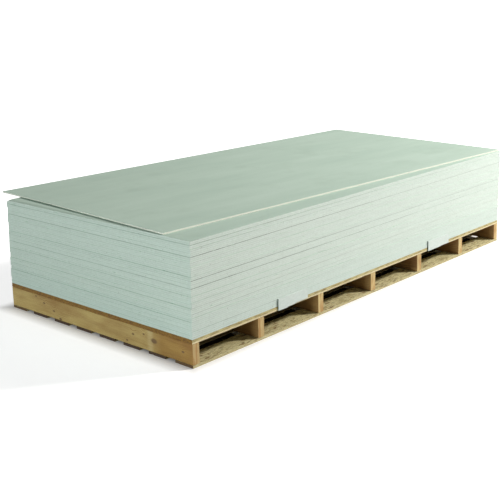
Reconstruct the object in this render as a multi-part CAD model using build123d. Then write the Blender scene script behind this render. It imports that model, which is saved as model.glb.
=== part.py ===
from build123d import *
from math import ceil, sin
import os

# A pallet load of fire-resistant board, all sizes in millimetres.
# Long sides run along X, the load stands on Z = 0 and its bounding box is centred on X = Y = 0.

# One board: a single square-edged mineral sheet, sold as 8 ft by 4 ft by 8 mm.
BOARD_LENGTH = 2438.4
BOARD_WIDTH = 1219.2
BOARD_THICKNESS = 8
BOARD_ARRIS = 0.4

# The squared stack: how many boards each lift set down, from the bottom up, how far the lifts,
# and the boards within them, lie out of line, and how far the stack leans along by its top.
LIFTS = (4, 5, 2, 2, 3, 3, 3, 4, 4, 2, 5, 3, 2, 4, 2, 2)
LIFT_JOG_ALONG = 1.4
LIFT_JOG_ACROSS = 0.9
BOARD_JOG = 0.4
STACK_LEAN = 8
JOG_STEP_ALONG = 2.4
JOG_STEP_ACROSS = 1.7

# The chip missing from the far left upper corner of the stack's highest board.
CHIP_REACH = 22
CHIP_DEPTH = 6

# The loose top board, measured from the middle of the stack.
TOP_SHIFT_ALONG = 50.7
TOP_SHIFT_ACROSS = 82.4
TOP_SKEW = -3.5

# The pallet's stringers: planed two-by-fours on edge across the load, at sixteen-inch centres.
STRINGER_COUNT = 7
STRINGER_WIDTH = 38.1
STRINGER_HEIGHT = 88.9
STRINGER_ROUND = 3

# The strips nailed under the stringers, the length of the pallet.
BOTTOM_COUNT = 8
BOTTOM_WIDTH = 104
BOTTOM_THICKNESS = 12.7
BOTTOM_ARRIS = 0.8

# The deck sheet that the boards lie on.
DECK_THICKNESS = 19.05
DECK_ARRIS = 0.8

# The two edge pads on the near long side, each hung from the deck's underside upwards.
PAD_WIDTH = 200
PAD_HEIGHT = 54
PAD_THICKNESS = 6
PAD_ARRIS = 1
PAD_PLACES = {"edge_pad_left": 613, "edge_pad_right": 1800}

# Sizes and heights that follow from the pieces below.
STACK_COUNT = sum(LIFTS)
PALLET_LENGTH = BOARD_LENGTH
PALLET_WIDTH = BOARD_WIDTH
STRINGER_FOOT = BOTTOM_THICKNESS
DECK_FOOT = STRINGER_FOOT + STRINGER_HEIGHT
STACK_FOOT = DECK_FOOT + DECK_THICKNESS
STACK_TOP = STACK_FOOT + STACK_COUNT * BOARD_THICKNESS
LEFT_END = -PALLET_LENGTH / 2
NEAR_SIDE = -PALLET_WIDTH / 2
ON_FOOT = (Align.CENTER, Align.CENTER, Align.MIN)


def sheet(length, width, thickness, arris):
    """A flat sheet on Z = 0 with a fine arris round both of its faces."""
    blank = Box(length, width, thickness, align=ON_FOOT)
    rims = blank.faces().sort_by(Axis.Z)
    return chamfer(rims[0].edges() + rims[-1].edges(), arris)


def jog(lift, number):
    """How far a board lies out of line, along and across, by its lift and its number.

    The boards that the edge pads bear on keep their long side in line with the deck.
    """
    lean = STACK_LEAN * (number - 1) / STACK_COUNT
    along = lean + LIFT_JOG_ALONG * sin(JOG_STEP_ALONG * lift) + BOARD_JOG * sin(JOG_STEP_ALONG * number)
    across = LIFT_JOG_ACROSS * sin(JOG_STEP_ACROSS * lift) + BOARD_JOG * sin(JOG_STEP_ACROSS * number)
    behind_pads = ceil((PAD_HEIGHT - DECK_THICKNESS) / BOARD_THICKNESS)
    return along, across if number > behind_pads else 0


def stack_boards():
    """The boards of the squared stack, numbered from 1 at the bottom."""
    boards = {}
    for lift, size in enumerate(LIFTS, start=1):
        for _ in range(size):
            number = len(boards) + 1
            board = sheet(BOARD_LENGTH, BOARD_WIDTH, BOARD_THICKNESS, BOARD_ARRIS)
            if number == STACK_COUNT:
                board = split(board, chip_plane(), keep=Keep.BOTTOM)
            along, across = jog(lift, number)
            foot = STACK_FOOT + (number - 1) * BOARD_THICKNESS
            boards[f"board_{number:02d}"] = Pos(along, across, foot) * board
    return boards


def chip_plane():
    """The break across a board's far left upper corner, facing outwards."""
    on_long_side = (-BOARD_LENGTH / 2 + CHIP_REACH, BOARD_WIDTH / 2, BOARD_THICKNESS)
    outwards = (-1 / CHIP_REACH, 1 / CHIP_REACH, 1 / CHIP_DEPTH)
    return Plane(origin=on_long_side, z_dir=outwards)


def top_board():
    """The loose board on top, turned and pushed towards the far right corner."""
    board = sheet(BOARD_LENGTH, BOARD_WIDTH, BOARD_THICKNESS, BOARD_ARRIS)
    return Pos(TOP_SHIFT_ALONG, TOP_SHIFT_ACROSS, STACK_TOP) * Rot(0, 0, TOP_SKEW) * board


def stringers():
    """The stringers, evenly spaced, with the two outer ones flush with the pallet's ends."""
    section = RectangleRounded(STRINGER_WIDTH, STRINGER_HEIGHT, STRINGER_ROUND)
    beam = extrude(Plane.XZ * section, PALLET_WIDTH / 2, both=True)
    spacing = PALLET_LENGTH / (STRINGER_COUNT - 1)
    places = [LEFT_END + spacing * step for step in range(STRINGER_COUNT)]
    places[0] += STRINGER_WIDTH / 2
    places[-1] -= STRINGER_WIDTH / 2
    middle = STRINGER_FOOT + STRINGER_HEIGHT / 2
    return Compound([Pos(along, 0, middle) * beam for along in places])


def bottom_boards():
    """The strips under the stringers, evenly spaced from the near long side to the far one."""
    strip = sheet(PALLET_LENGTH, BOTTOM_WIDTH, BOTTOM_THICKNESS, BOTTOM_ARRIS)
    first = NEAR_SIDE + BOTTOM_WIDTH / 2
    pitch = (PALLET_WIDTH - BOTTOM_WIDTH) / (BOTTOM_COUNT - 1)
    return Compound([Pos(0, first + pitch * step, 0) * strip for step in range(BOTTOM_COUNT)])


def deck_sheet():
    """The full sheet across all the stringers."""
    return Pos(0, 0, DECK_FOOT) * sheet(PALLET_LENGTH, PALLET_WIDTH, DECK_THICKNESS, DECK_ARRIS)


def edge_pad(from_left_end):
    """A flat pad standing against the deck's edge and the lowest boards, its rim eased outside."""
    blank = Box(PAD_WIDTH, PAD_THICKNESS, PAD_HEIGHT, align=(Align.CENTER, Align.MAX, Align.MIN))
    outer_face = blank.faces().sort_by(Axis.Y)[0]
    pad = chamfer(outer_face.edges(), PAD_ARRIS)
    return Pos(LEFT_END + from_left_end, NEAR_SIDE, DECK_FOOT) * pad


def main():
    os.makedirs("parts", exist_ok=True)
    pieces = stack_boards()
    pieces["top_board"] = top_board()
    pieces["deck_sheet"] = deck_sheet()
    pieces["stringers"] = stringers()
    pieces["bottom_boards"] = bottom_boards()
    for name, from_left_end in PAD_PLACES.items():
        pieces[name] = edge_pad(from_left_end)
    box = Compound(list(pieces.values())).bounding_box()
    to_origin = Pos(-box.center().X, -box.center().Y, -box.min.Z)
    for name, piece in pieces.items():
        export_step(to_origin * piece, f"parts/{name}.step")
    print("frame moved by", to_origin.position, "size", box.size)


main()
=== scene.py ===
# %% [markdown]
# # A pallet load of fire-resistant board
#
# The solid model of the load is already packed, in metres, with the floor at Z = 0, +X along the
# long sides and the long side with the edge pads facing -Y. This lesson dresses it: every board,
# stringer, strip and pad gets its own mesh and its own finish. The first step loads the solids.

# %% Load the solids
import math

import bpy
import numpy as np
from mathutils import Matrix, Vector


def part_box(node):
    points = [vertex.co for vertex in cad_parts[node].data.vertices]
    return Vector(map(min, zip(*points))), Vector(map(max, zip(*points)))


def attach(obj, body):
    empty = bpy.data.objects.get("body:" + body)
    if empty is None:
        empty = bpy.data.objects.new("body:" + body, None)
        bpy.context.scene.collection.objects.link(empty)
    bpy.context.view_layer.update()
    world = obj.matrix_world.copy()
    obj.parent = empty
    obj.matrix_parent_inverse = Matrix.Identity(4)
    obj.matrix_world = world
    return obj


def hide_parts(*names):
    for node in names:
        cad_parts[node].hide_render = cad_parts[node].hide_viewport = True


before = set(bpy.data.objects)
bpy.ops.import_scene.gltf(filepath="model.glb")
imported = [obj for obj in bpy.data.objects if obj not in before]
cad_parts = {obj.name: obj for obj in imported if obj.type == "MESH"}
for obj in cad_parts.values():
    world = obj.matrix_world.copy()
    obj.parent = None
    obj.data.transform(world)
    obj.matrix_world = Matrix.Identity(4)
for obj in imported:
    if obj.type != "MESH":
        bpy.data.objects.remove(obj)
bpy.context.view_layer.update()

# %% [markdown]
# ## One way to write colours
#
# Colours are picked on a screen as sRGB hex codes, but Blender works with linear light, in which
# the same grey has a smaller number. One function turns a code into linear values, so every colour
# below can be written as it is seen.

# %% Colours and sizes
MM = 0.001


def linear(code):
    """The linear red, green, blue and alpha of an sRGB code such as "#CDDBD2"."""
    shares = [int(code[place:place + 2], 16) / 255 for place in (1, 3, 5)]
    return [s / 12.92 if s <= 0.04045 else ((s + 0.055) / 1.055) ** 2.4 for s in shares] + [1.0]


print("mid grey is", round(linear("#808080")[0], 3), "of white's light")

# %% [markdown]
# ## The camera
#
# The picture was taken from a little above, off the near left corner, with a fairly long lens. The
# numbers come from lining up the load's straight edges, which a 2:1 sheet of known size makes
# possible. A camera looks along its own -Z with +Y up, so its matrix is built from three directions
# at right angles: right, up and back.

# %% Place the camera
CAMERA_FROM_PALLET = Vector((-3.7584, -3.2887, 1.5169))
CAMERA_YAW = math.radians(48.404)
CAMERA_PITCH = math.radians(12.815)
CAMERA_ROLL = math.radians(-1.199)
PICTURE_WIDTH = 500
FOCAL_PIXELS = 989.7
SENSOR_WIDTH = 36.0
LENS_SHIFT = (-0.04, -0.10)
FARTHEST_SEEN = 200

deck_low, deck_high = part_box("deck_sheet")
pallet_centre = Vector(((deck_low.x + deck_high.x) / 2, (deck_low.y + deck_high.y) / 2, 0))

ahead = Vector((math.sin(CAMERA_YAW) * math.cos(CAMERA_PITCH),
                math.cos(CAMERA_YAW) * math.cos(CAMERA_PITCH), -math.sin(CAMERA_PITCH)))
level_right = Vector((math.cos(CAMERA_YAW), -math.sin(CAMERA_YAW), 0))
level_up = level_right.cross(ahead)
right = math.cos(CAMERA_ROLL) * level_right + math.sin(CAMERA_ROLL) * level_up
up = math.cos(CAMERA_ROLL) * level_up - math.sin(CAMERA_ROLL) * level_right

camera = bpy.data.objects.new("camera", bpy.data.cameras.new("camera"))
bpy.context.scene.collection.objects.link(camera)
camera.matrix_world = Matrix.Translation(pallet_centre + CAMERA_FROM_PALLET) @ \
    Matrix((right, up, -ahead)).transposed().to_4x4()
camera.data.sensor_width = SENSOR_WIDTH
camera.data.lens = FOCAL_PIXELS / PICTURE_WIDTH * SENSOR_WIDTH
camera.data.shift_x, camera.data.shift_y = LENS_SHIFT
camera.data.clip_end = FARTHEST_SEEN
bpy.context.scene.camera = camera
print("lens", round(camera.data.lens, 1), "mm")

# %% [markdown]
# ## Nodes by hand
#
# A material is a small network of nodes. It could be wired in Blender's editor, but in code every
# number stays in sight. One function adds any node: it sets the node's own settings, fills each
# input with a number or links it to another node's output, and hands back the output that the next
# node wants.

# %% A function for any node


def add_node(material, kind, inputs=(), stops=(), out=None, **settings):
    """Adds a shader node and returns its first output, or the one that out names.

    Inputs are a dict by name, or a row of values in the order in which the node shows its inputs.
    The stops of a colour ramp run from left to right.
    """
    tree = material.node_tree
    node = tree.nodes.new("ShaderNode" + kind)
    for name, value in settings.items():
        setattr(node, name, value)
    if not isinstance(inputs, dict):
        shown = [number for number, socket in enumerate(node.inputs) if socket.enabled]
        inputs = dict(zip(shown, inputs))
    for name, value in inputs.items():
        if isinstance(value, bpy.types.NodeSocket):
            tree.links.new(value, node.inputs[name])
        else:
            node.inputs[name].default_value = value
    for number, (place, code) in enumerate(stops[:1] + stops[-1:] + stops[1:-1]):
        marks = node.color_ramp.elements
        stop = marks[number] if number < 2 else marks.new(place)
        stop.position, stop.color = place, linear(code)
    answers = [socket for socket in node.outputs if socket.enabled and out in (None, socket.name)]
    return answers[0] if answers else None


def new_material(name):
    """A material with no nodes yet."""
    material = bpy.data.materials.new(name)
    material.use_nodes = True
    material.node_tree.nodes.clear()
    return material


print(sum(name.startswith("ShaderNode") for name in dir(bpy.types)), "kinds of node to choose from")

# %% [markdown]
# ## Real sizes, directions and reliefs
#
# A pattern looks right when its size comes from the real thing, so patterns are laid out in cells
# of so many millimetres along X, Y and Z. Many finishes also change with the direction that the
# surface faces: a sawn end is not a face. Its normal tells that without any unwrapping. Last, most
# finishes here end alike, with a colour, one roughness and a shallow relief. Real displacement
# would need millions of faces for it, so the relief only tilts the light.

# %% Three helpers for finishes


def stretched(material, cell, turn=0.0):
    """Object coordinates in which one unit is the given cell, in millimetres, along X, Y and Z."""
    place = add_node(material, "TexCoord", out="Object")
    return add_node(material, "Mapping", {"Vector": place, "Rotation": (0, 0, turn),
                                          "Scale": [1 / (side * MM) for side in cell]})


def facing(material, axis, none, full):
    """How squarely the surface faces along an axis: 0 at the first limit and 1 at the second."""
    normal = add_node(material, "NewGeometry", out="Normal")
    part = add_node(material, "SeparateXYZ", (normal,), out=axis)
    size = add_node(material, "Math", (part,), operation="ABSOLUTE")
    return add_node(material, "MapRange", (size, none, full))


def give_surface(material, colour, roughness, height, depth, strength):
    """Ends a material with a colour, a roughness, and a relief so many millimetres deep."""
    bump = add_node(material, "Bump", {"Height": height, "Distance": depth * MM,
                                       "Strength": strength})
    surface = add_node(material, "BsdfPrincipled", {"Base Color": colour, "Roughness": roughness,
                                                    "Normal": bump})
    add_node(material, "OutputMaterial", {"Surface": surface})


print("a cell of 5 mm is a scale of", round(1 / (5 * MM)), "a metre")

# %% [markdown]
# ## Mineral fire board
#
# The boards are a pressed mineral sheet: pale grey-green, matt and a little chalky. A picture of a
# board could be laid on every face, but solid patterns stay sharp close by and run on round the
# edges, as they do in a real sheet.
#
# All 51 boards share this finish. Each mesh carries five numbers for it to read: batch shifts the
# patterns, so no two boards look alike, tint cools the colour, fresh marks a newly cut edge, and
# seam and gap say how dark and how wide the painted shade at each rim is.

# %% What the fire board reads
BOARD_THICKNESS = 8.0

fire_board = new_material("mineral_fire_board")
batch, tint, seam, fresh, gap = [
    add_node(fire_board, "Attribute", out="Fac", attribute_name=name)
    for name in ("batch", "tint", "seam", "fresh", "gap")]
on_edge = facing(fire_board, "Z", 0.75, 0.35)
on_end = facing(fire_board, "X", 0.6, 0.9)
along, height = [add_node(fire_board, "SeparateXYZ", (stretched(fire_board, (1, 1, 1)),), out=axis)
                 for axis in ("X", "Z")]
off_middle = add_node(fire_board, "Math", (height,), operation="ABSOLUTE")
print("fire board starts with", len(fire_board.node_tree.nodes), "nodes")

# %% [markdown]
# ### Its patterns
#
# The rollers that smoothed the faces left soft clouds, drawn out along the length. The cut edges
# show the strokes of the saw, a fine grit, small pits, some darker stains and here and there a
# speck. Noise gives the soft ones, and the distance to scattered points gives the pits and specks.
# The real grit is half a millimetre and less, and the saw's strokes a millimetre or two apart, so
# both are drawn several times coarser, or the picture would not show them.

# %% Patterns of the fire board
CLOUD_CELL = (620, 130, 130)
GRIT_CELL = (5, 5, 3)
STROKE_CELL = (9, 9, 60)
STAIN_CELL = (150, 150, 12)
PIT_CELL = (26, 26, 9)
SPECK_CELL = (150, 150, 70)

clouds, grit, strokes, stains = [
    add_node(fire_board, "TexNoise", {
        "Vector": stretched(fire_board, cell), "W": batch, "Scale": 1.0, "Detail": detail,
        "Roughness": roughness}, noise_dimensions="4D")
    for cell, detail, roughness in ((CLOUD_CELL, 3.0, 0.55), (GRIT_CELL, 2.0, 0.6),
                                    (STROKE_CELL, 2.0, 0.5), (STAIN_CELL, 4.0, 0.5))]
pits, specks = [
    add_node(fire_board, "TexVoronoi", {"Vector": stretched(fire_board, cell), "W": batch,
                                        "Scale": 1.0}, voronoi_dimensions="4D")
    for cell in (PIT_CELL, SPECK_CELL)]

dents = [add_node(fire_board, "MapRange", (pits, 0.14, 0.08, 0.0, 0.7)),
         add_node(fire_board, "MapRange", (specks, 0.04, 0.03))]
deepest = add_node(fire_board, "Math", dents, operation="MAXIMUM")
pit = add_node(fire_board, "Math", (deepest, on_edge), operation="MULTIPLY")
print("with patterns", len(fire_board.node_tree.nodes), "nodes")

# %% [markdown]
# ### Glass mesh and dusty seams
#
# A glass mesh lies under each face and shows on the cut edge as a faint line, drawn a little wider
# than it is. Between two boards the light dies away. The gap itself is real in the mesh, but it is
# thinner than one dot of the picture, so the finish paints shade in a thin dark band at the rims.
# The painted shade is strongest near the left end and where stains are, and weak on the stack's
# end itself. The loose board has it on its lower rim alone, as painted shadow.

# %% Mesh lines and painted seam shade of the fire board
MESH_DEPTH = 1.5
MESH_SHARE = 0.05
SEAM_SHADE_FROM = -1200.0
SEAM_SHADE_TO = (-600.0, 400.0)
LEAST_SEAM_SHADE = 0.35

off_mesh = add_node(fire_board, "Math", (off_middle, BOARD_THICKNESS / 2 - MESH_DEPTH),
                    operation="SUBTRACT")
off_mesh = add_node(fire_board, "Math", (off_mesh,), operation="ABSOLUTE")
mesh_line = add_node(fire_board, "MapRange", (off_mesh, 0.25, 0.75, MESH_SHARE, 0.0))
mesh_line = add_node(fire_board, "Math", (mesh_line, on_edge), operation="MULTIPLY")

below_middle = add_node(fire_board, "Math", (height, -1.0), operation="MULTIPLY")
toward_rim = add_node(fire_board, "Mix", (fresh, off_middle, below_middle))
from_rim = add_node(fire_board, "Math", (BOARD_THICKNESS / 2, toward_rim), operation="SUBTRACT")
from_rim = add_node(fire_board, "Math", (from_rim, gap), operation="DIVIDE")
seam_shade_end = add_node(fire_board, "MapRange", (gap, 0.5, 1.0, *SEAM_SHADE_TO))
not_fresh = add_node(fire_board, "Math", (1.0, fresh), operation="SUBTRACT")
stack_end = add_node(fire_board, "Math", (on_end, not_fresh), operation="MULTIPLY")

# Painted shade at the rims: the seam number, narrowed to a band by gap, weaker to the right and on
# the stack's end faces.
seam_shade = seam
for share in (on_edge,
              add_node(fire_board, "MapRange", (from_rim, 0.7, 1.0, 1.0, 0.0)),
              add_node(fire_board, "MapRange", (stains, 0.35, 0.6, 0.65, 1.0)),
              add_node(fire_board, "MapRange", (along, SEAM_SHADE_FROM, seam_shade_end, 1.0, LEAST_SEAM_SHADE)),
              add_node(fire_board, "MapRange", (stack_end, 0.0, 1.0, 1.0, LEAST_SEAM_SHADE))):
    seam_shade = add_node(fire_board, "Math", (seam_shade, share), operation="MULTIPLY")
print("with seams", len(fire_board.node_tree.nodes), "nodes")

# %% [markdown]
# ### Its colours
#
# Two colour ramps give the green-grey faces and the paler, greyer edges, and a new cut is nearly
# white. The rest lies over that in layers: multiplied where it only stains the sheet, and mixed in
# where it covers it. The last layer is the painted shade at the seams. The surface is rough, and
# only the grit and the pits stand out of it.

# %% Colours and surface of the fire board
CHALKY = 0.82
MOST_TINT = 0.35

face_colour = add_node(fire_board, "ValToRGB", (clouds,), (
    (0.30, "#BFD7C8"), (0.50, "#C5DCCD"), (0.72, "#CBE1D3")))
edge_colour = add_node(fire_board, "ValToRGB", (strokes,), (
    (0.30, "#CDD9D1"), (0.50, "#D2DED6"), (0.72, "#D6E2DB")))
edge_colour = add_node(fire_board, "Mix", (fresh, edge_colour, linear("#ECECE2")),
                       data_type="RGBA")
colour = add_node(fire_board, "Mix", (on_edge, face_colour, edge_colour), data_type="RGBA")

tinted = add_node(fire_board, "Math", (tint, MOST_TINT), operation="MULTIPLY")
stained = add_node(fire_board, "MapRange", (stains, 0.55, 0.75, 0.0, 0.14))
gritty = add_node(fire_board, "MapRange", (grit, 0.55, 0.75, 0.0, 0.11))
# The last layer, dark green-grey, mixes in the painted shade at the seams.
for share, code, way in ((tinted, "#E4F0F3", "MULTIPLY"), (stained, "#B4BFB2", "MULTIPLY"),
                         (gritty, "#B9C4BA", "MULTIPLY"), (mesh_line, "#98A69A", "MIX"),
                         (pit, "#6C776B", "MIX"), (seam_shade, "#39443B", "MIX")):
    colour = add_node(fire_board, "Mix", (share, colour, linear(code)), data_type="RGBA",
                      blend_type=way)

relief = add_node(fire_board, "Math", (grit, 0.5), operation="MULTIPLY")
relief = add_node(fire_board, "Math", (relief, pit), operation="SUBTRACT")
give_surface(fire_board, colour, CHALKY, relief, depth=0.5, strength=0.6)
print("fire board has", len(fire_board.node_tree.nodes), "nodes")

# %% [markdown]
# ## Meshes from rings
#
# Sheets, beams and nail heads are all made in one way: rings of points, joined by four-sided faces
# and closed at both ends. Bevelled boxes would do for one sheet, but rings let every point of a
# worn rim be placed in code.

# %% Helpers for meshes


def ring_faces(rings, count, first=0):
    """The four-sided faces between each ring of points and the next."""
    return [(row + i, row + count + i, row + count + (i + 1) % count, row + (i + 1) % count)
            for row in range(first, first + (rings - 1) * count, count) for i in range(count)]


def add_piece(name, points, faces):
    """A mesh object made of points and faces, put into the scene."""
    mesh = bpy.data.meshes.new(name)
    mesh.from_pydata(points, [], faces)
    piece = bpy.data.objects.new(name, mesh)
    bpy.context.scene.collection.objects.link(piece)
    return piece


def mark(piece, **numbers):
    """Gives a mesh's points named numbers for its material, one for all or one each."""
    for name, number in numbers.items():
        values = piece.data.attributes.new(name, "FLOAT", "POINT")
        each = np.ones(len(piece.data.vertices)) * number
        values.data.foreach_set("value", each.astype(np.float32))


def read_points(piece):
    """The points of a piece's mesh as an array of rows."""
    points = np.empty(3 * len(piece.data.vertices), np.float32)
    piece.data.vertices.foreach_get("co", points)
    return points.reshape(-1, 3)


def move_points(piece, points):
    """Puts changed points back into a piece's mesh."""
    piece.data.vertices.foreach_set("co", np.ascontiguousarray(points, np.float32).ravel())
    piece.data.update()


print("a ring of 12 points gives", len(ring_faces(2, 12)), "faces to the next")

# %% [markdown]
# ## A sheet as a mesh
#
# Boards and strips are flat sheets with a sharp but worn rim. A plain box would give every seam in
# the stack the same hard line, so the mesh follows the rim in short steps. At each step a chain of
# six points runs down the cut edge, and noise pushes the points inwards only, so the sheet never
# grows past its solid. The upper and lower arris vary in width, and a few steps are broken
# further in, as knocked corners are. The faces are closed with long quads from side to side.

# %% The rim and the faces of a sheet


def smooth_noise(draw, count, step):
    """Random values from -1 to 1 round a closed rim, with one free value every so many steps."""
    knots = draw.uniform(-1, 1, max(4, count // step))
    places = np.arange(count) / count * len(knots)
    low = places.astype(int)
    share = places - low
    share = share * share * (3 - 2 * share)
    return knots[low % len(knots)] * (1 - share) + knots[(low + 1) % len(knots)] * share


def sheet_rim(length, width, along, across):
    """The steps round a sheet: where each is, and which way is out of the sheet there."""
    xs = np.linspace(-length / 2, length / 2, along + 1)
    ys = np.linspace(-width / 2, width / 2, across + 1)
    near = [(x, ys[0], 0, -1) for x in xs[:-1]]
    end = [(xs[-1], y, 1, 0) for y in ys[:-1]]
    far = [(x, ys[-1], 0, 1) for x in xs[:0:-1]]
    start = [(xs[0], y, -1, 0) for y in ys[:0:-1]]
    rim = np.array(near + end + far + start)
    corners = (0, along, along + across, 2 * along + across)
    for corner, way in zip(corners, ((-1, -1), (1, -1), (1, 1), (-1, 1))):
        rim[corner, 2:] = way
    return rim


def sheet_face(first, along, across):
    """The faces that close one ring of a sheet: long quads, and a wider one at each end."""
    count = 2 * (along + across)
    last_corner = 2 * along + across
    opposite = [first + (last_corner - i) % count for i in range(along + 1)]
    quads = [(first + i, first + i + 1, opposite[i + 1], opposite[i])
             for i in range(1, along - 1)]
    start_end = [first, first + 1, opposite[1], *range(first + last_corner, first + count)]
    far_end = range(first + along - 1, first + along + across + 2)
    return quads + [tuple(start_end), tuple(far_end)]


print("14 by 10 steps make", len(sheet_rim(1, 1, 14, 10)), "round the rim")

# %% A function for sheets
KNOCK_DEPTH = (1.2 * MM, 3.2 * MM)
ARRIS_WAVES = (0.45, 9)
ARRIS_CHANCE = 0.25
DENT_STEPS = 6


def make_sheet(name, size, pitch, arris, wear, knocks, draw):
    """A sheet centred on its own origin, with a worn rim and an upper and a lower arris width."""
    length, width, thickness = size
    along, across = round(length / pitch), round(width / pitch)
    rim = sheet_rim(length, width, along, across)
    count = len(rim)
    most, steps = ARRIS_WAVES
    arrises = [side * (1 + most * smooth_noise(draw, count, steps)
                       + ARRIS_CHANCE * draw.uniform(-1, 1, count)) for side in arris]
    for widths in arrises:
        for place in draw.integers(0, count, knocks):
            widths[place] += draw.uniform(*KNOCK_DEPTH)
    dents = [wear * (0.5 + 0.5 * smooth_noise(draw, count, DENT_STEPS))
             * draw.uniform(0.4, 1, count) for _ in range(4)]
    half = thickness / 2
    chain = [(arrises[0], half), (dents[0], half - 0.8 * arrises[0]), (dents[1], thickness / 6),
             (dents[2], -thickness / 6), (dents[3], -half + 0.8 * arrises[1]),
             (arrises[1], -half)]
    points = []
    for inset, level in chain:
        ring = np.empty((count, 3))
        ring[:, :2] = rim[:, :2] - rim[:, 2:] * np.reshape(inset, (-1, 1))
        ring[:, 2] = level
        points.append(ring)
    lowest = (len(chain) - 1) * count
    faces = ring_faces(len(chain), count) + sheet_face(0, along, across)
    faces += [face[::-1] for face in sheet_face(lowest, along, across)]
    return add_piece(name, np.concatenate(points).tolist(), faces)


print("a knocked step is broken in by up to", round(KNOCK_DEPTH[1] / MM, 1), "mm more")

# %% [markdown]
# ## The squared stack
#
# The fork truck set the boards down a few at a time, so the seams between those lifts are wider and
# darker than the seams within a lift, and four of them stand out. The stack could be one block with
# lines drawn on it, but separate sheets catch the light along their own rims and stand a little out
# of line, as their solids do. The boards within a lift get a fine arris, and the rims at a lift's
# seam a wider one. The lowest boards are a little cooler in colour.

# %% How open each seam is
LIFTS = (4, 5, 2, 2, 3, 3, 3, 4, 4, 2, 5, 3, 2, 4, 2, 2)
WIDE_SEAMS = {26: 1.0, 30: 0.9, 42: 1.0, 48: 0.8}
LIFT_SEAMS = (0.2, 0.6)

draw = np.random.default_rng(9)
open_seams = dict.fromkeys(range(sum(LIFTS) + 1), 0.0)
for top in np.cumsum(LIFTS).tolist():
    open_seams[top] = WIDE_SEAMS.get(top, draw.uniform(*LIFT_SEAMS))
print(len(LIFTS), "lifts,", len(WIDE_SEAMS), "wide seams")

# %% Make the stack of boards
BOARD_SIZE = Vector((2438.4, 1219.2, BOARD_THICKNESS)) * MM
RIM_STEP = 14 * MM
RIM_WEAR = 0.5 * MM
LIFT_ARRIS = 0.7 * MM
INNER_ARRIS = 0.25 * MM
INNER_SEAMS = (0.15, 0.8)
INNER_GAP = 0.5
LIFT_GAP = (1.0, 0.7)
BATCH_STEP = 3.7
COOL_BOARDS = 14
MOST_COOL = 0.7
COOL_CHANCE = 0.25

number = 0
for boards in LIFTS:
    for _ in range(boards):
        number += 1
        draw = np.random.default_rng(100 + number)
        low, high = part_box(f"board_{number:02d}")
        opening = (open_seams[number], open_seams[number - 1])
        arris = [LIFT_ARRIS if share else INNER_ARRIS for share in opening]
        piece = make_sheet(f"fire_board_{number:02d}", BOARD_SIZE, RIM_STEP, arris, RIM_WEAR,
                           knocks=3, draw=draw)
        piece.location = (low + high) / 2
        is_upper = np.arange(len(piece.data.vertices)) < len(piece.data.vertices) / 2
        # seams and gaps also set how dark and how wide the painted shade is at each rim.
        seams = [share if share else draw.uniform(*INNER_SEAMS) for share in opening]
        gaps = [LIFT_GAP[0] + LIFT_GAP[1] * share if share else INNER_GAP for share in opening]
        cool = max(0.0, 1 - number / COOL_BOARDS) * MOST_COOL + draw.uniform(0, COOL_CHANCE)
        mark(piece, batch=BATCH_STEP * number, fresh=0, seam=np.where(is_upper, *seams),
             gap=np.where(is_upper, *gaps), tint=cool)
        piece.data.materials.append(fire_board)
        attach(piece, "root")
        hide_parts(f"board_{number:02d}")
print(number, "boards of", len(piece.data.polygons), "faces")

# %% [markdown]
# ## The broken corner
#
# The stack's highest board has lost a small corner at the far left. A boolean cut would do it, but
# it is enough to push the points near that corner down to the plane of the break.

# %% Break the corner of the highest board
CHIP_REACH = 22 * MM
CHIP_DEPTH = 6 * MM

points = read_points(piece)
from_corner = (np.maximum(points[:, 0] + BOARD_SIZE.x / 2, 0)
               + np.maximum(BOARD_SIZE.y / 2 - points[:, 1], 0))
broken = BOARD_SIZE.z / 2 - CHIP_DEPTH * np.clip(1 - from_corner / CHIP_REACH, 0, 1)
print(np.count_nonzero(points[:, 2] > broken), "points pushed down")
points[:, 2] = np.minimum(points[:, 2], broken)
move_points(piece, points)

# %% [markdown]
# ## The loose board on top
#
# The last board lies askew: turned a few degrees and pushed towards the far right corner. Its solid
# says where its middle is, and the turn is the same as the solid's. Its left end looks slightly
# lifted, with a dark line under it that is widest near the middle. Bending the board would take it
# out of its solid, so the lower rim of that end is worn hollow instead, by up to 3.7 mm, and the
# finish paints shadow into the hollow. Its edges are newly cut.

# %% Make the loose board
TOP_SKEW = math.radians(-3.5)
TOP_ARRIS = 0.6 * MM
HOLLOW_PLACES = (-0.61, -0.45, -0.20, 0.0, 0.17, 0.40, 0.50, 0.61)
HOLLOW_HEIGHTS = (0.9, 1.5, 2.8, 3.2, 4.6, 3.4, 2.0, 1.0)
HOLLOW_SHARE = 0.8
HOLLOW_INSET = 6 * MM
END_REACH = 5 * MM
SHADED_SHARE = 1.15
TOP_GAP = 0.9
RINGS = 6

low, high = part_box("top_board")
top_board = make_sheet("loose_board", BOARD_SIZE, RIM_STEP, (TOP_ARRIS, TOP_ARRIS), RIM_WEAR,
                       knocks=4, draw=np.random.default_rng(7))
top_board.location = (low + high) / 2
top_board.rotation_euler.z = TOP_SKEW

points = read_points(top_board)
ring = np.arange(len(points)) // (len(points) // RINGS)
hollow = np.interp(points[:, 1], HOLLOW_PLACES, HOLLOW_HEIGHTS)
at_left = points[:, 0] < -BOARD_SIZE.x / 2 + END_REACH
low_rim = at_left & (ring == RINGS - 2)
points[low_rim, 2] = (-BOARD_THICKNESS / 2 + HOLLOW_SHARE * hollow[low_rim]) * MM
points[at_left & (ring == RINGS - 1), 0] += HOLLOW_INSET
move_points(top_board, points)

# seam and gap give the loose board painted shadow along its lower rim, widest in the hollow at its
# left end.
mark(top_board, batch=0.4, tint=0.0, seam=1.0, fresh=1.0,
     gap=np.where(at_left, SHADED_SHARE * hollow, TOP_GAP))
top_board.data.materials.append(fire_board)
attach(top_board, "root")
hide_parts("top_board")
print("loose board at", [round(value, 4) for value in top_board.location])

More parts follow.
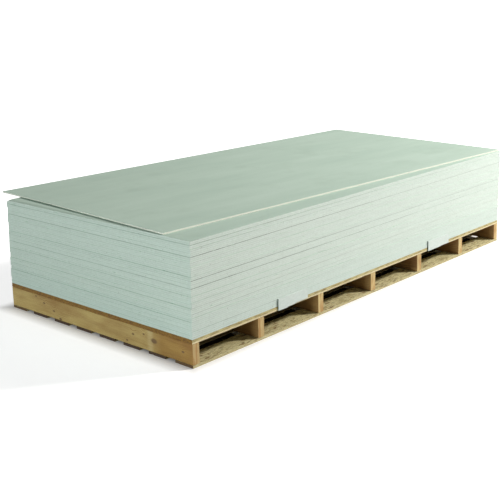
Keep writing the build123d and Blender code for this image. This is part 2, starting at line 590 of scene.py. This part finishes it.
# %% [markdown]
# ## Strand board
#
# The deck and the strips under the pallet are strand board: flakes of softwood up to 90 mm long and
# 20 mm wide, under a millimetre thick, pressed flat with resin. The eye sees a patchwork of straw
# and brown with dark cracks. Real flakes could be scattered as thousands of small meshes. Here one
# solid pattern serves the faces and the cut edges alike: Voronoi cells squashed to the shape of a
# flake, so that a cut through them shows thin lenses. Three such patterns, turned against each
# other, take turns by chance, cell by cell. Most flakes are broken shorter, so their cells are 50
# to 62 mm long, drawn at a share of that, and their thickness is drawn as 1.6 mm so that the layers
# show.

# %% The flakes of strand board
FLAKES = ((0.35, 62, 13), (1.45, 50, 12), (-0.5, 56, 15))
FLAKE_THICKNESS = 1.6


def flake_pattern(material, share):
    """Three flake patterns in one: each flake's tone, its height, and how far its rim is."""
    batch = add_node(material, "Attribute", out="Fac", attribute_name="batch")
    layers = []
    for turn, length, width in FLAKES:
        cell = (share * length, share * width, FLAKE_THICKNESS)
        where = {"Vector": stretched(material, cell, turn), "W": batch, "Scale": 1.0}
        chance = add_node(material, "TexVoronoi", where, out="Color", voronoi_dimensions="4D")
        layers.append((add_node(material, "SeparateColor", (chance,), out="Red"),
                       add_node(material, "SeparateColor", (chance,), out="Green"),
                       add_node(material, "TexVoronoi", where, voronoi_dimensions="4D",
                                feature="DISTANCE_TO_EDGE")))
    tone, lift, rim = layers[0]
    for layer in layers[1:]:
        over = add_node(material, "Math", (layer[1], lift), operation="GREATER_THAN")
        tone, lift, rim = [add_node(material, "Mix", (over, first, second))
                           for first, second in zip((tone, lift, rim), layer)]
    return tone, lift, rim


print("flakes drawn", FLAKE_THICKNESS, "mm thick")

# %% The two strand boards
RESIN_BOUND = 0.7


def strand_board(name, share, pale, middle, dark, stain, under):
    """A strand board: its flakes' share of full size and colours, its end stain, lower layer."""
    material = new_material(name)
    tone, lift, rim = flake_pattern(material, share)
    grain = add_node(material, "TexNoise", {
        "Vector": stretched(material, (40, 2.5, 2.5), FLAKES[0][0]), "Scale": 1.0, "Detail": 3.0})
    grained = add_node(material, "MapRange", (grain, 0.35, 0.7, 0.0, 0.4))
    shade = add_node(material, "Attribute", out="Fac", attribute_name="shade")
    sawn_end = facing(material, "X", 0.6, 0.8)
    sawn_side = facing(material, "Y", 0.6, 0.8)
    level = add_node(material, "SeparateXYZ", (stretched(material, (1, 1, 1)),), out="Z")
    low_layer = add_node(material, "MapRange", (level, -1.0, -3.0, 0.0, 0.7))
    low_layer = add_node(material, "Math", (low_layer, sawn_side), operation="MULTIPLY")
    crack = add_node(material, "MapRange", (rim, 0.05, 0.0))
    dark_crack = add_node(material, "Math", (crack, 0.6), operation="MULTIPLY")
    colour = add_node(material, "ValToRGB", (tone,), (
        (0.0, dark), (0.12, middle), (0.5, pale), (1.0, pale)))
    # shade multiplies painted shade into the strips that lie under the load.
    for part, code, way in ((grained, middle, "MULTIPLY"), (shade, "#A0907A", "MULTIPLY"),
                            (sawn_end, stain, "MULTIPLY"), (low_layer, under, "MIX"),
                            (dark_crack, "#2C1E12", "MIX")):
        colour = add_node(material, "Mix", (part, colour, linear(code)), data_type="RGBA",
                          blend_type=way)
    sunk = add_node(material, "Math", (crack, -0.8), operation="MULTIPLY")
    relief = add_node(material, "Math", (lift, 0.7, sunk), operation="MULTIPLY_ADD")
    give_surface(material, colour, RESIN_BOUND, relief, depth=0.6, strength=0.6)
    return material


deck_strands = strand_board("strand_board_deck", 0.8, pale="#CFC48E", middle="#A08B52",
                            dark="#5C4220", stain="#B88F45", under="#F0E2B8")
strip_strands = strand_board("strand_board_strips", 0.55, pale="#D8D0A2", middle="#B5A878",
                             dark="#7A5A36", stain="#7A5E46", under="#CDBF8E")
print("strand boards have", len(deck_strands.node_tree.nodes), "nodes each")

# %% [markdown]
# ## Deck and strips
#
# The deck is one full sheet. The strips under the pallet are ripped from a board with shorter,
# paler flakes. They are flat sheets as well, so the same function makes them, with a rougher rim.
# The strips between the outer two lie in the load's shade, and the number called shade gives them
# painted shade as a darker colour. All strips sit 0.3 mm clear of the floor face of their solids,
# because the nail heads come there.

# %% Make the deck
SHEET_STEP = 12 * MM
DECK_ARRIS = 0.8 * MM

low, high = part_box("deck_sheet")
deck = make_sheet("deck", high - low, SHEET_STEP, (DECK_ARRIS, DECK_ARRIS), wear=0.7 * MM,
                  knocks=10, draw=np.random.default_rng(21))
deck.location = (low + high) / 2
mark(deck, batch=1.3, shade=0)
deck.data.materials.append(deck_strands)
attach(deck, "root")
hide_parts("deck_sheet")
print("deck of", [round(side / MM, 1) for side in high - low], "mm")

# %% Make the strips
STRIP_COUNT = 8
STRIP_WIDTH = 104 * MM
STRIP_ARRIS = 0.9 * MM
NAIL_STAND = 0.3 * MM

low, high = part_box("bottom_boards")
strip_pitch = (high.y - low.y - STRIP_WIDTH) / (STRIP_COUNT - 1)
strip_middles = [low.y + STRIP_WIDTH / 2 + number * strip_pitch for number in range(STRIP_COUNT)]
for number, middle in enumerate(strip_middles):
    size = Vector((high.x - low.x, STRIP_WIDTH, high.z - low.z - NAIL_STAND))
    strip = make_sheet(f"strip_{number + 1}", size, SHEET_STEP, (STRIP_ARRIS, STRIP_ARRIS),
                       wear=0.9 * MM, knocks=12, draw=np.random.default_rng(30 + number))
    strip.location = ((low.x + high.x) / 2, middle, (low.z + high.z + NAIL_STAND) / 2)
    mark(strip, batch=5.1 * number + 2, shade=float(0 < number < STRIP_COUNT - 1))
    strip.data.materials.append(strip_strands)
    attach(strip, "root")
    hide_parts("bottom_boards")
print("strips every", round(strip_pitch / MM, 1), "mm")

# %% [markdown]
# ## Nails
#
# Two nails hold every strip to every stringer. Only their heads show, on the underside, so they are
# low discs with a bevelled rim, all in one mesh. Whole nails would only hide in the wood. Driven
# steel is bright where the hammer struck and dull around that, which noise in the roughness gives.

# %% The nails' finish
SCUFF_CELL = (3, 3, 3)

nail_steel = new_material("bright_nail_steel")
scuff = add_node(nail_steel, "TexNoise", {"Vector": stretched(nail_steel, SCUFF_CELL),
                                          "Scale": 1.0, "Detail": 3.0})
steel = add_node(nail_steel, "ValToRGB", (scuff,), ((0.3, "#8E8A84"), (0.7, "#C4C1BC")))
polish = add_node(nail_steel, "MapRange", (scuff, 0.3, 0.7, 0.5, 0.3))
surface = add_node(nail_steel, "BsdfPrincipled", {"Base Color": steel, "Metallic": 1.0,
                                                  "Roughness": polish})
add_node(nail_steel, "OutputMaterial", {"Surface": surface})
print("nail steel has", len(nail_steel.node_tree.nodes), "nodes")

# %% Drive the nails
STRINGER_COUNT = 7
STRINGER_WIDTH = 38.1 * MM
NAIL_SIDES = 12
NAIL_RADIUS = 3.5 * MM
NAIL_BEVEL = 0.5 * MM
NAIL_RINGS = ((NAIL_RADIUS, NAIL_STAND + 0.05 * MM), (NAIL_RADIUS, 0.12 * MM),
              (NAIL_RADIUS - NAIL_BEVEL, 0))
NAIL_OFF_MIDDLE = 27 * MM
NAIL_STRAY = (8, 6)

beam_low, beam_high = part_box("stringers")
beam_spacing = (beam_high.x - beam_low.x) / (STRINGER_COUNT - 1)
beam_middles = [min(max(beam_low.x + number * beam_spacing, beam_low.x + STRINGER_WIDTH / 2),
                    beam_high.x - STRINGER_WIDTH / 2) for number in range(STRINGER_COUNT)]

points, faces = [], []
draw = np.random.default_rng(60)
for strip_middle in strip_middles:
    for beam_middle in beam_middles:
        for side in (-1, 1):
            stray = [draw.uniform(-most, most) * MM for most in NAIL_STRAY]
            x = beam_middle + stray[0]
            y = strip_middle + side * NAIL_OFF_MIDDLE + stray[1]
            first = len(points)
            points += [(x + reach * math.cos(math.tau * step / NAIL_SIDES),
                        y + reach * math.sin(math.tau * step / NAIL_SIDES), level)
                       for reach, level in NAIL_RINGS for step in range(NAIL_SIDES)]
            faces += ring_faces(len(NAIL_RINGS), NAIL_SIDES, first)
            faces.append(tuple(range(first, first + NAIL_SIDES)))
            faces.append(tuple(range(len(points) - 1, len(points) - 1 - NAIL_SIDES, -1)))
nails = add_piece("nail_heads", points, faces)
nails.data.materials.append(nail_steel)
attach(nails, "root")
print(len(points) // (len(NAIL_RINGS) * NAIL_SIDES), "nail heads")

# %% [markdown]
# ## Planed softwood
#
# The stringers are planed two-by-fours of spruce or pine. On the sides the year rings run as long
# streaks, on the sawn ends they show as arcs. Two pictures of wood would not meet at the arris, so
# both come from one solid pattern: the distance from a pith line that runs along the beam.
#
# Knots come first, because the rings bend round them. Most beams get rare knots by chance,
# stretched along the wood. The stringer at the left end shows its whole side, so its nine knots are
# put where they are: along the beam, above its middle, and their reach, all in millimetres.

# %% Knots of the softwood
KNOT_CELL = (55, 170, 55)
KNOT_STRETCH = 1.7
LEFT_KNOTS = ((363, 14, 5), (422, 36, 4), (291, -9, 5), (245, -37, 6), (-253, 7, 5),
              (-320, 22, 4), (-383, 6, 11), (-554, 1, 5), (-212, -29, 4))
REACH_AS_CHANCE = 0.09

softwood = new_material("planed_softwood")
batch, warm, left = [add_node(softwood, "Attribute", out="Fac", attribute_name=name)
                     for name in ("batch", "warm", "left")]
by_chance = add_node(softwood, "TexVoronoi", {"Vector": stretched(softwood, KNOT_CELL),
                                              "W": batch, "Scale": 1.0}, voronoi_dimensions="4D")
knot_plane = stretched(softwood, (1000, KNOT_STRETCH, 1))
nearest = 50.0
for run_to, above, reach in LEFT_KNOTS:
    away = add_node(softwood, "VectorMath", (knot_plane, (0, run_to / KNOT_STRETCH, above)),
                    operation="DISTANCE")
    in_reaches = add_node(softwood, "Math", (away, reach), operation="DIVIDE")
    nearest = add_node(softwood, "Math", (nearest, in_reaches), operation="MINIMUM")
nearest = add_node(softwood, "Math", (nearest, REACH_AS_CHANCE), operation="MULTIPLY")
knot_far = add_node(softwood, "Mix", (left, by_chance, nearest))
print(len(LEFT_KNOTS), "knots on the left stringer")

# %% [markdown]
# ### Year rings
#
# The pith lies outside the beam, a little elsewhere for each one, because sawn timber is cut from
# round it. The rings are 4 mm apart, bent by noise along the length and pushed out round each knot.

# %% Year rings of the softwood
RING_WIDTH = 4.0
WANDER_CELL = (60, 420, 60)
WANDER_REACH = 26.0
PITH_BELOW = 62.0
PITH_ASIDE = (7.0, 20.0)
KNOT_PUSH = 14.0

wander = add_node(softwood, "TexNoise", {"Vector": stretched(softwood, WANDER_CELL), "W": batch,
                                         "Scale": 1.0, "Detail": 2.0}, out="Color",
                  noise_dimensions="4D")
bend = add_node(softwood, "VectorMath", (wander, WANDER_REACH), operation="SCALE")
bent = add_node(softwood, "VectorMath", (stretched(softwood, (1, 1, 1)), bend), operation="ADD")
aside, below = [add_node(softwood, "SeparateXYZ", (bent,), out=axis) for axis in ("X", "Z")]
pith_aside = add_node(softwood, "Math", (batch, *PITH_ASIDE), operation="MULTIPLY_ADD")
squares = []
for part, pith in ((aside, pith_aside), (below, PITH_BELOW)):
    off_pith = add_node(softwood, "Math", (part, pith), operation="ADD")
    squares.append(add_node(softwood, "Math", (off_pith, off_pith), operation="MULTIPLY"))
total = add_node(softwood, "Math", squares, operation="ADD")
radius = add_node(softwood, "Math", (total,), operation="SQRT")
push = add_node(softwood, "MapRange", (knot_far, 0.0, 0.45, KNOT_PUSH, 0.0))
pushed = add_node(softwood, "Math", (radius, push), operation="ADD")
in_rings = add_node(softwood, "Math", (pushed, RING_WIDTH), operation="DIVIDE")
ring = add_node(softwood, "Math", (in_rings,), operation="FRACT")
print("rings every", RING_WIDTH, "mm")

# %% [markdown]
# ### Its colours
#
# Each ring runs from pale early wood to a dark line of late wood. Over that come the fibres, which
# are far finer than a millimetre and are drawn as 1.8 mm, and clouds of weathering. The sawn ends
# soak up more dirt and show broad bands. The near part of the left stringer is heartwood, browner
# than the rest, with a pale patch beside its large knot. The other stringers' sides get painted
# shade, darker and warmer, because in the bays they see each other more than the sky.

# %% Colours of the softwood
FIBRE_CELL = (1.8, 90, 1.8)
WEATHER_CELL = (70, 260, 70)
BAND_CELL = (11, 400, 90)
HEARTWOOD = (-355.0, -430.0)
PALE_PATCH = 360.0
END_SHARE = 0.45

fibres, weather, bands = [
    add_node(softwood, "TexNoise", {"Vector": stretched(softwood, cell), "W": batch,
                                    "Scale": 1.0, "Detail": detail}, noise_dimensions="4D")
    for cell, detail in ((FIBRE_CELL, 3.0), (WEATHER_CELL, 3.0), (BAND_CELL, 1.0))]
run = add_node(softwood, "SeparateXYZ", (stretched(softwood, (1, 1, 1)),), out="Y")
on_end = facing(softwood, "Y", 0.6, 0.9)
on_side = add_node(softwood, "Math", (1.0, on_end), operation="SUBTRACT")
# Painted shade, darker and warmer, on the inner stringers' sides, which face each other inside the
# bays.
painted_bay_shade = add_node(softwood, "Math", (warm, on_side), operation="MULTIPLY")
heartwood = add_node(softwood, "MapRange", (run, *HEARTWOOD))
heartwood = add_node(softwood, "Math", (heartwood, left), operation="MULTIPLY")
off_patch = add_node(softwood, "Math", (run, PALE_PATCH), operation="ADD")
off_patch = add_node(softwood, "Math", (off_patch,), operation="ABSOLUTE")
pale_patch = add_node(softwood, "MapRange", (off_patch, 22.0, 8.0, 0.0, 0.35))
pale_patch = add_node(softwood, "Math", (pale_patch, left), operation="MULTIPLY")
fibrous = add_node(softwood, "MapRange", (fibres, 0.35, 0.75, 0.0, 0.6))
weathered = add_node(softwood, "MapRange", (weather, 0.42, 0.7, 0.0, 0.7))
eye = add_node(softwood, "MapRange", (knot_far, 0.11, 0.06))
dull_end = add_node(softwood, "Math", (on_end, END_SHARE), operation="MULTIPLY")
banded = add_node(softwood, "MapRange", (bands, 0.47, 0.6, 0.0, 0.75))
banded = add_node(softwood, "Math", (banded, on_end), operation="MULTIPLY")

wood = add_node(softwood, "ValToRGB", (ring,), (
    (0.0, "#D2BC82"), (0.62, "#C8AE6E"), (0.86, "#A07A3C"), (1.0, "#CAB278")))
for share, code, way in ((painted_bay_shade, "#94602C", "MULTIPLY"), (heartwood, "#E0CDA8", "MULTIPLY"),
                         (pale_patch, "#F0E2B4", "MIX"), (fibrous, "#C8AC70", "MULTIPLY"),
                         (weathered, "#B08A50", "MULTIPLY"), (eye, "#6E5230", "MIX"),
                         (dull_end, "#E0CC94", "MIX"), (banded, "#A4743A", "MIX")):
    wood = add_node(softwood, "Mix", (share, wood, linear(code)), data_type="RGBA",
                    blend_type=way)
print("softwood has", len(softwood.node_tree.nodes), "nodes so far")

# %% Surface of the softwood
PLANED = 0.62

ridges = add_node(softwood, "Math", (ring, 0.3), operation="MULTIPLY")
relief = add_node(softwood, "Math", (fibres, 0.5, ridges), operation="MULTIPLY_ADD")
give_surface(softwood, wood, PLANED, relief, depth=0.4, strength=0.5)
print("softwood has", len(softwood.node_tree.nodes), "nodes")

# %% [markdown]
# ## The stringers
#
# A planed beam has softly rounded long edges and square sawn ends. A bevelled box would be too
# perfect, so its mesh is a loft: the same rounded section is repeated along Y, each one turned in
# by a fraction of a millimetre so that the light breaks along the arris, and the ends are closed
# with a small chamfer.

# %% A function for beams
BEAM_STEP = 24 * MM
BEAM_WEAR = 0.35 * MM
END_CHAMFER = (1.2 * MM, 1.0 * MM)
CORNER_STEPS = 4


def beam_section(width, depth, rounding):
    """The points round a section with rounded corners."""
    section = []
    for corner, (side, level) in enumerate(((1, 1), (-1, 1), (-1, -1), (1, -1))):
        for part in range(CORNER_STEPS):
            angle = math.radians(90 * corner + 90 / (CORNER_STEPS - 1) * part)
            section.append((side * (width / 2 - rounding) + rounding * math.cos(angle),
                            level * (depth / 2 - rounding) + rounding * math.sin(angle)))
    return np.array(section)


def make_beam(name, size, rounding, draw):
    """A beam along Y with rounded long edges, centred on its own origin."""
    width, length, depth = size
    section = beam_section(width, depth, rounding)
    count = len(section)
    inner = length / 2 - END_CHAMFER[0]
    places = [-length / 2, *np.linspace(-inner, inner, round(length / BEAM_STEP)), length / 2]
    rings = []
    for place in places:
        inset = END_CHAMFER[1] if place in (places[0], places[-1]) else 0
        wear = draw.uniform(0, BEAM_WEAR, count) + inset
        ring = section - np.sign(section) * wear[:, None]
        rings.append(np.column_stack((ring[:, 0], np.full(count, place), ring[:, 1])))
    last = len(rings) * count - 1
    faces = ring_faces(len(rings), count)
    faces += [tuple(range(count)), tuple(range(last, last - count, -1))]
    return add_piece(name, np.concatenate(rings).tolist(), faces)


print("a beam's section has", 4 * CORNER_STEPS, "points")

# %% Make the stringers
STRINGER_ROUND = 3 * MM
# How much painted shade the inner stringers' sides get.
BAY_SIDE_SHADE = 0.6

for number, middle in enumerate(beam_middles):
    is_left = number == 0
    size = (STRINGER_WIDTH, beam_high.y - beam_low.y, beam_high.z - beam_low.z)
    beam = make_beam(f"stringer_{number + 1}", size, STRINGER_ROUND,
                     np.random.default_rng(50 + number))
    beam.location = (middle, (beam_low.y + beam_high.y) / 2, (beam_low.z + beam_high.z) / 2)
    mark(beam, batch=2.9 * number + 0.6, warm=0.0 if is_left else BAY_SIDE_SHADE,
         left=float(is_left))
    beam.data.materials.append(softwood)
    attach(beam, "root")
    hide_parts("stringers")
print("stringers every", round(beam_spacing / MM, 1), "mm")

# %% [markdown]
# ## Edge pads
#
# Two pads stand against the deck's edge and the lowest boards, where a strap or a fork would mark
# them. They read as pressed fibre: pale, matt and flecked, with painted shade on their end faces,
# which are drawn near black. They were torn from a longer strip, so the lower edge steps up and
# runs ragged. The flecks of fibre are drawn as 14 mm by 5 mm, several times their real size. The
# function for sheets makes the pads as well: each is made lying down, torn along one side, and
# stood up.

# %% The pads' finish
FLECK_CELL = (14, 5, 5)
PRESSED = 0.75

pad_fibre = new_material("pressed_fibre_pad")
fleck = add_node(pad_fibre, "TexNoise", {"Vector": stretched(pad_fibre, FLECK_CELL),
                                         "Scale": 1.0, "Detail": 4.0})
colour = add_node(pad_fibre, "ValToRGB", (fleck,), (
    (0.3, "#C8D4CF"), (0.5, "#CED9D4"), (0.75, "#D4DFDA")))
# Painted shade: the pad's end faces are drawn near black.
shaded_pad_end = facing(pad_fibre, "X", 0.8, 0.95)
colour = add_node(pad_fibre, "Mix", (shaded_pad_end, colour, linear("#2A332B")), data_type="RGBA")
give_surface(pad_fibre, colour, PRESSED, fleck, depth=0.3, strength=0.3)
print("pad fibre has", len(pad_fibre.node_tree.nodes), "nodes")

# %% Make the edge pads
# Places along each pad, and how far its lower edge is torn up there, in millimetres.
TORN_EDGES = {"edge_pad_left": ((-100, -38, -35, 12, 15, 100), (0, 0.6, 3.2, 3.8, 6.4, 7.4)),
              "edge_pad_right": ((-100, 22, 25, 100), (0, 0.8, 2.8, 3.6))}
RAGGED_DEPTH = 0.5
RAGGED_RATE = 0.9
PAD_STEP = 5 * MM
PAD_ARRIS = 0.9 * MM

for number, (node, (places, rises)) in enumerate(TORN_EDGES.items()):
    low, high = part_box(node)
    size = high - low
    pad = make_sheet(f"pad_{number + 1}", (size.x, size.z, size.y), PAD_STEP,
                     (PAD_ARRIS, PAD_ARRIS), wear=0.8 * MM, knocks=3,
                     draw=np.random.default_rng(80 + number))
    points = read_points(pad)
    run = points[:, 0] / MM
    torn = np.interp(run, places, rises) + RAGGED_DEPTH * np.sin(run * RAGGED_RATE)
    share = np.clip(0.5 - points[:, 1] / size.z, 0, 1) ** 4
    points[:, 1] += np.clip(torn, 0, None) * MM * share
    move_points(pad, points)
    pad.rotation_euler.x = math.radians(90)
    pad.location = (low + high) / 2
    pad.data.materials.append(pad_fibre)
    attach(pad, "root")
    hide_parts(node)
print("pads of", [round(side / MM) for side in size], "mm")

# %% [markdown]
# ## The floor
#
# The load stands on a white studio floor. Only rays from the camera, or from a gloss, see it lifted
# to full white, so it keeps the load's shadow and puts no more light on the load. Inside the bays
# a white floor would show between the strips, where the real ones lie in deep shade. So shade is
# painted dark onto the floor under the pallet, and left out along the foot of each stringer, which
# gives each bay its one pale patch.

# %% Make the floor
FLOOR_REACH = 60.0

corners = [(FLOOR_REACH * x, FLOOR_REACH * y, 0) for x, y in ((-1, -1), (1, -1), (1, 1), (-1, 1))]
floor = add_piece("floor", corners, [(0, 1, 2, 3)])
floor.location = pallet_centre
print("floor of", 2 * FLOOR_REACH, "m")

# %% The floor's finish
NEAR_GLOW = (-0.03, 0.08, 0.0, 0.75)
FAR_GLOW = (0.5, 3.0, 0.0, 0.6)
UNDER_LOAD_SHADE = (-0.045, -0.07)
STRINGER_FOOT = (0.014, 0.026)


def looked_at(material):
    """1 for a ray from the camera or from a gloss, and 0 for the rays that carry light."""
    rays = [add_node(material, "LightPath", out=name)
            for name in ("Is Camera Ray", "Is Glossy Ray")]
    return add_node(material, "Math", rays, operation="MAXIMUM")


studio_white = new_material("studio_white")
spot = [add_node(studio_white, "SeparateXYZ", (add_node(studio_white, "TexCoord", out="Object"),),
                 out=axis) for axis in ("X", "Y")]
beside = []
for off_centre, half in zip(spot, (deck_high - deck_low) / 2):
    off_centre = add_node(studio_white, "Math", (off_centre,), operation="ABSOLUTE")
    beside.append(add_node(studio_white, "Math", (off_centre, half), operation="SUBTRACT"))
away = add_node(studio_white, "Math", beside, operation="MAXIMUM")
glows = [add_node(studio_white, "MapRange", (away, *limits)) for limits in (NEAR_GLOW, FAR_GLOW)]
lifted = add_node(studio_white, "Math", glows, operation="ADD")

# Painted shade: the floor under the pallet is drawn dark, and left pale at the foot of each
# stringer.
under_load_shade = add_node(studio_white, "MapRange", (away, *UNDER_LOAD_SHADE))
from_beam = add_node(studio_white, "Math", (spot[0], beam_spacing / 2), operation="PINGPONG")
off_foot = add_node(studio_white, "MapRange", (from_beam, *STRINGER_FOOT))
painted_floor_shade = add_node(studio_white, "Math", (under_load_shade, off_foot), operation="MULTIPLY")
floor_colour = add_node(studio_white, "Mix", (painted_floor_shade, linear("#E8E8E8"), linear("#2A241F")),
                        data_type="RGBA")

matt = add_node(studio_white, "BsdfDiffuse", {"Color": floor_colour})
glow = add_node(studio_white, "Emission", {"Strength": lifted})
both = add_node(studio_white, "AddShader", (matt, glow))
picked = add_node(studio_white, "MixShader", (looked_at(studio_white), matt, both))
add_node(studio_white, "OutputMaterial", {"Surface": picked})
floor.data.materials.append(studio_white)
print("studio white has", len(studio_white.node_tree.nodes), "nodes")

# %% [markdown]
# ## Sky and lamps
#
# The light is a soft studio light: an even sky, a key lamp high on the right of the near side,
# which lights the top and the long side, and a low fill off the left end, which keeps that end from
# going dark. Both are a metre across. The key is a touch warm and the fill a touch green. To the
# camera the sky is plain white.

# %% Make the sky and the lamps
SKY_LIGHT = 0.12
LAMP_SIZE = 1.0
LAMPS = {"key_lamp": ((4.9, -4.5, 4.8), (0, 0, 0.4), 705, "#FFFBF6"),
         "left_fill": ((-7.5, -1.0, 0.55), (-1.2, 0.1, 0.3), 200, "#F2FFFA")}

sky = bpy.data.worlds.new("sky")
bpy.context.scene.world = sky
sky.use_nodes = True
sky.node_tree.nodes.clear()
strength = add_node(sky, "MapRange", (looked_at(sky), 0, 1, SKY_LIGHT, 1.0))
shine = add_node(sky, "Background", {"Color": linear("#FFFFFF"), "Strength": strength})
add_node(sky, "OutputWorld", {"Surface": shine})

for name, (place, aim, power, code) in LAMPS.items():
    lamp = bpy.data.objects.new(name, bpy.data.lights.new(name, "AREA"))
    lamp.data.size = LAMP_SIZE
    lamp.data.energy = power
    lamp.data.color = linear(code)[:3]
    lamp.location = pallet_centre + Vector(place)
    lamp.rotation_euler = (Vector(aim) - Vector(place)).to_track_quat("-Z", "Y").to_euler()
    bpy.context.scene.collection.objects.link(lamp)
    print(lamp.name, "of", power, "W")

# %% [markdown]
# ## Finish
#
# The picture is shown as it was lit, with no tone curve.

# %% Finish
bpy.context.scene.view_settings.view_transform = "Standard"
